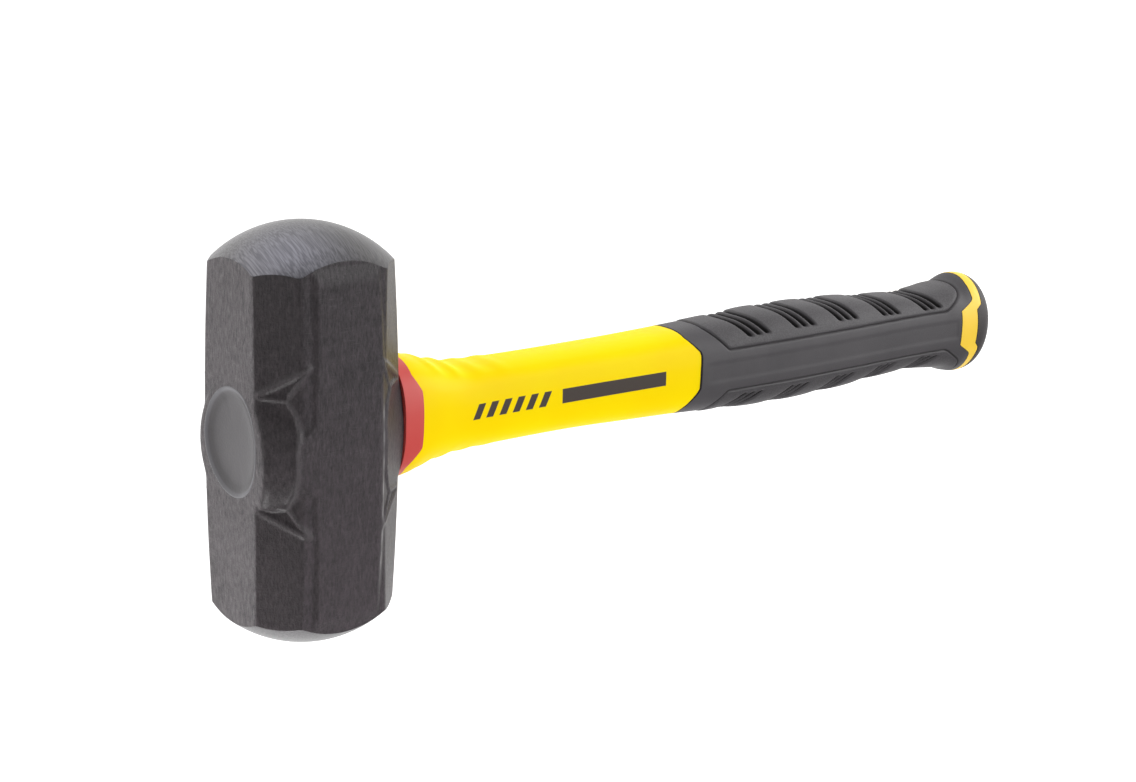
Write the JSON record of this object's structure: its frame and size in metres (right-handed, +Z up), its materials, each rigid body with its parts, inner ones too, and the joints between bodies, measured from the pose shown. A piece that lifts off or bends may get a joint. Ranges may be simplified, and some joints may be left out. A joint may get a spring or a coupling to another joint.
{
  "type": "lump hammer",
  "caption": "Short lump hammer with an octagonal double-domed forged head, a jacketed fibreglass handle, a red collar and a contoured rubber grip.",
  "frame": {"origin": "on the lower side land of the head, straight under the point where the handle axis crosses the striking axis", "axes": "+X along the handle from the head to the pommel, +Y along the striking axis, +Z up with the hammer lying on one side of its head"},
  "size_m": [0.2951, 0.1176, 0.0444],
  "materials": {
    "forged_steel": "rough dark forged finish with bright ground striking domes",
    "cap_plastic": "smooth satin",
    "resin": "matt",
    "fibreglass": "fibrous satin",
    "collar_plastic": "satin",
    "jacket_plastic": "smooth semi-gloss",
    "grip_rubber": "soft matt, moulded grooves",
    "band_plastic": "satin",
    "pad_rubber": "soft matt"
  },
  "bodies": {
    "root": {"head": "forged_steel", "eye_cap": "cap_plastic", "eye_resin": "resin", "fibreglass_core": "fibreglass", "damping_collar": "collar_plastic", "overstrike_jacket": "jacket_plastic", "rubber_grip": "grip_rubber", "pommel_band": "band_plastic", "butt_pad": "pad_rubber"}
  },
  "joints": []
}
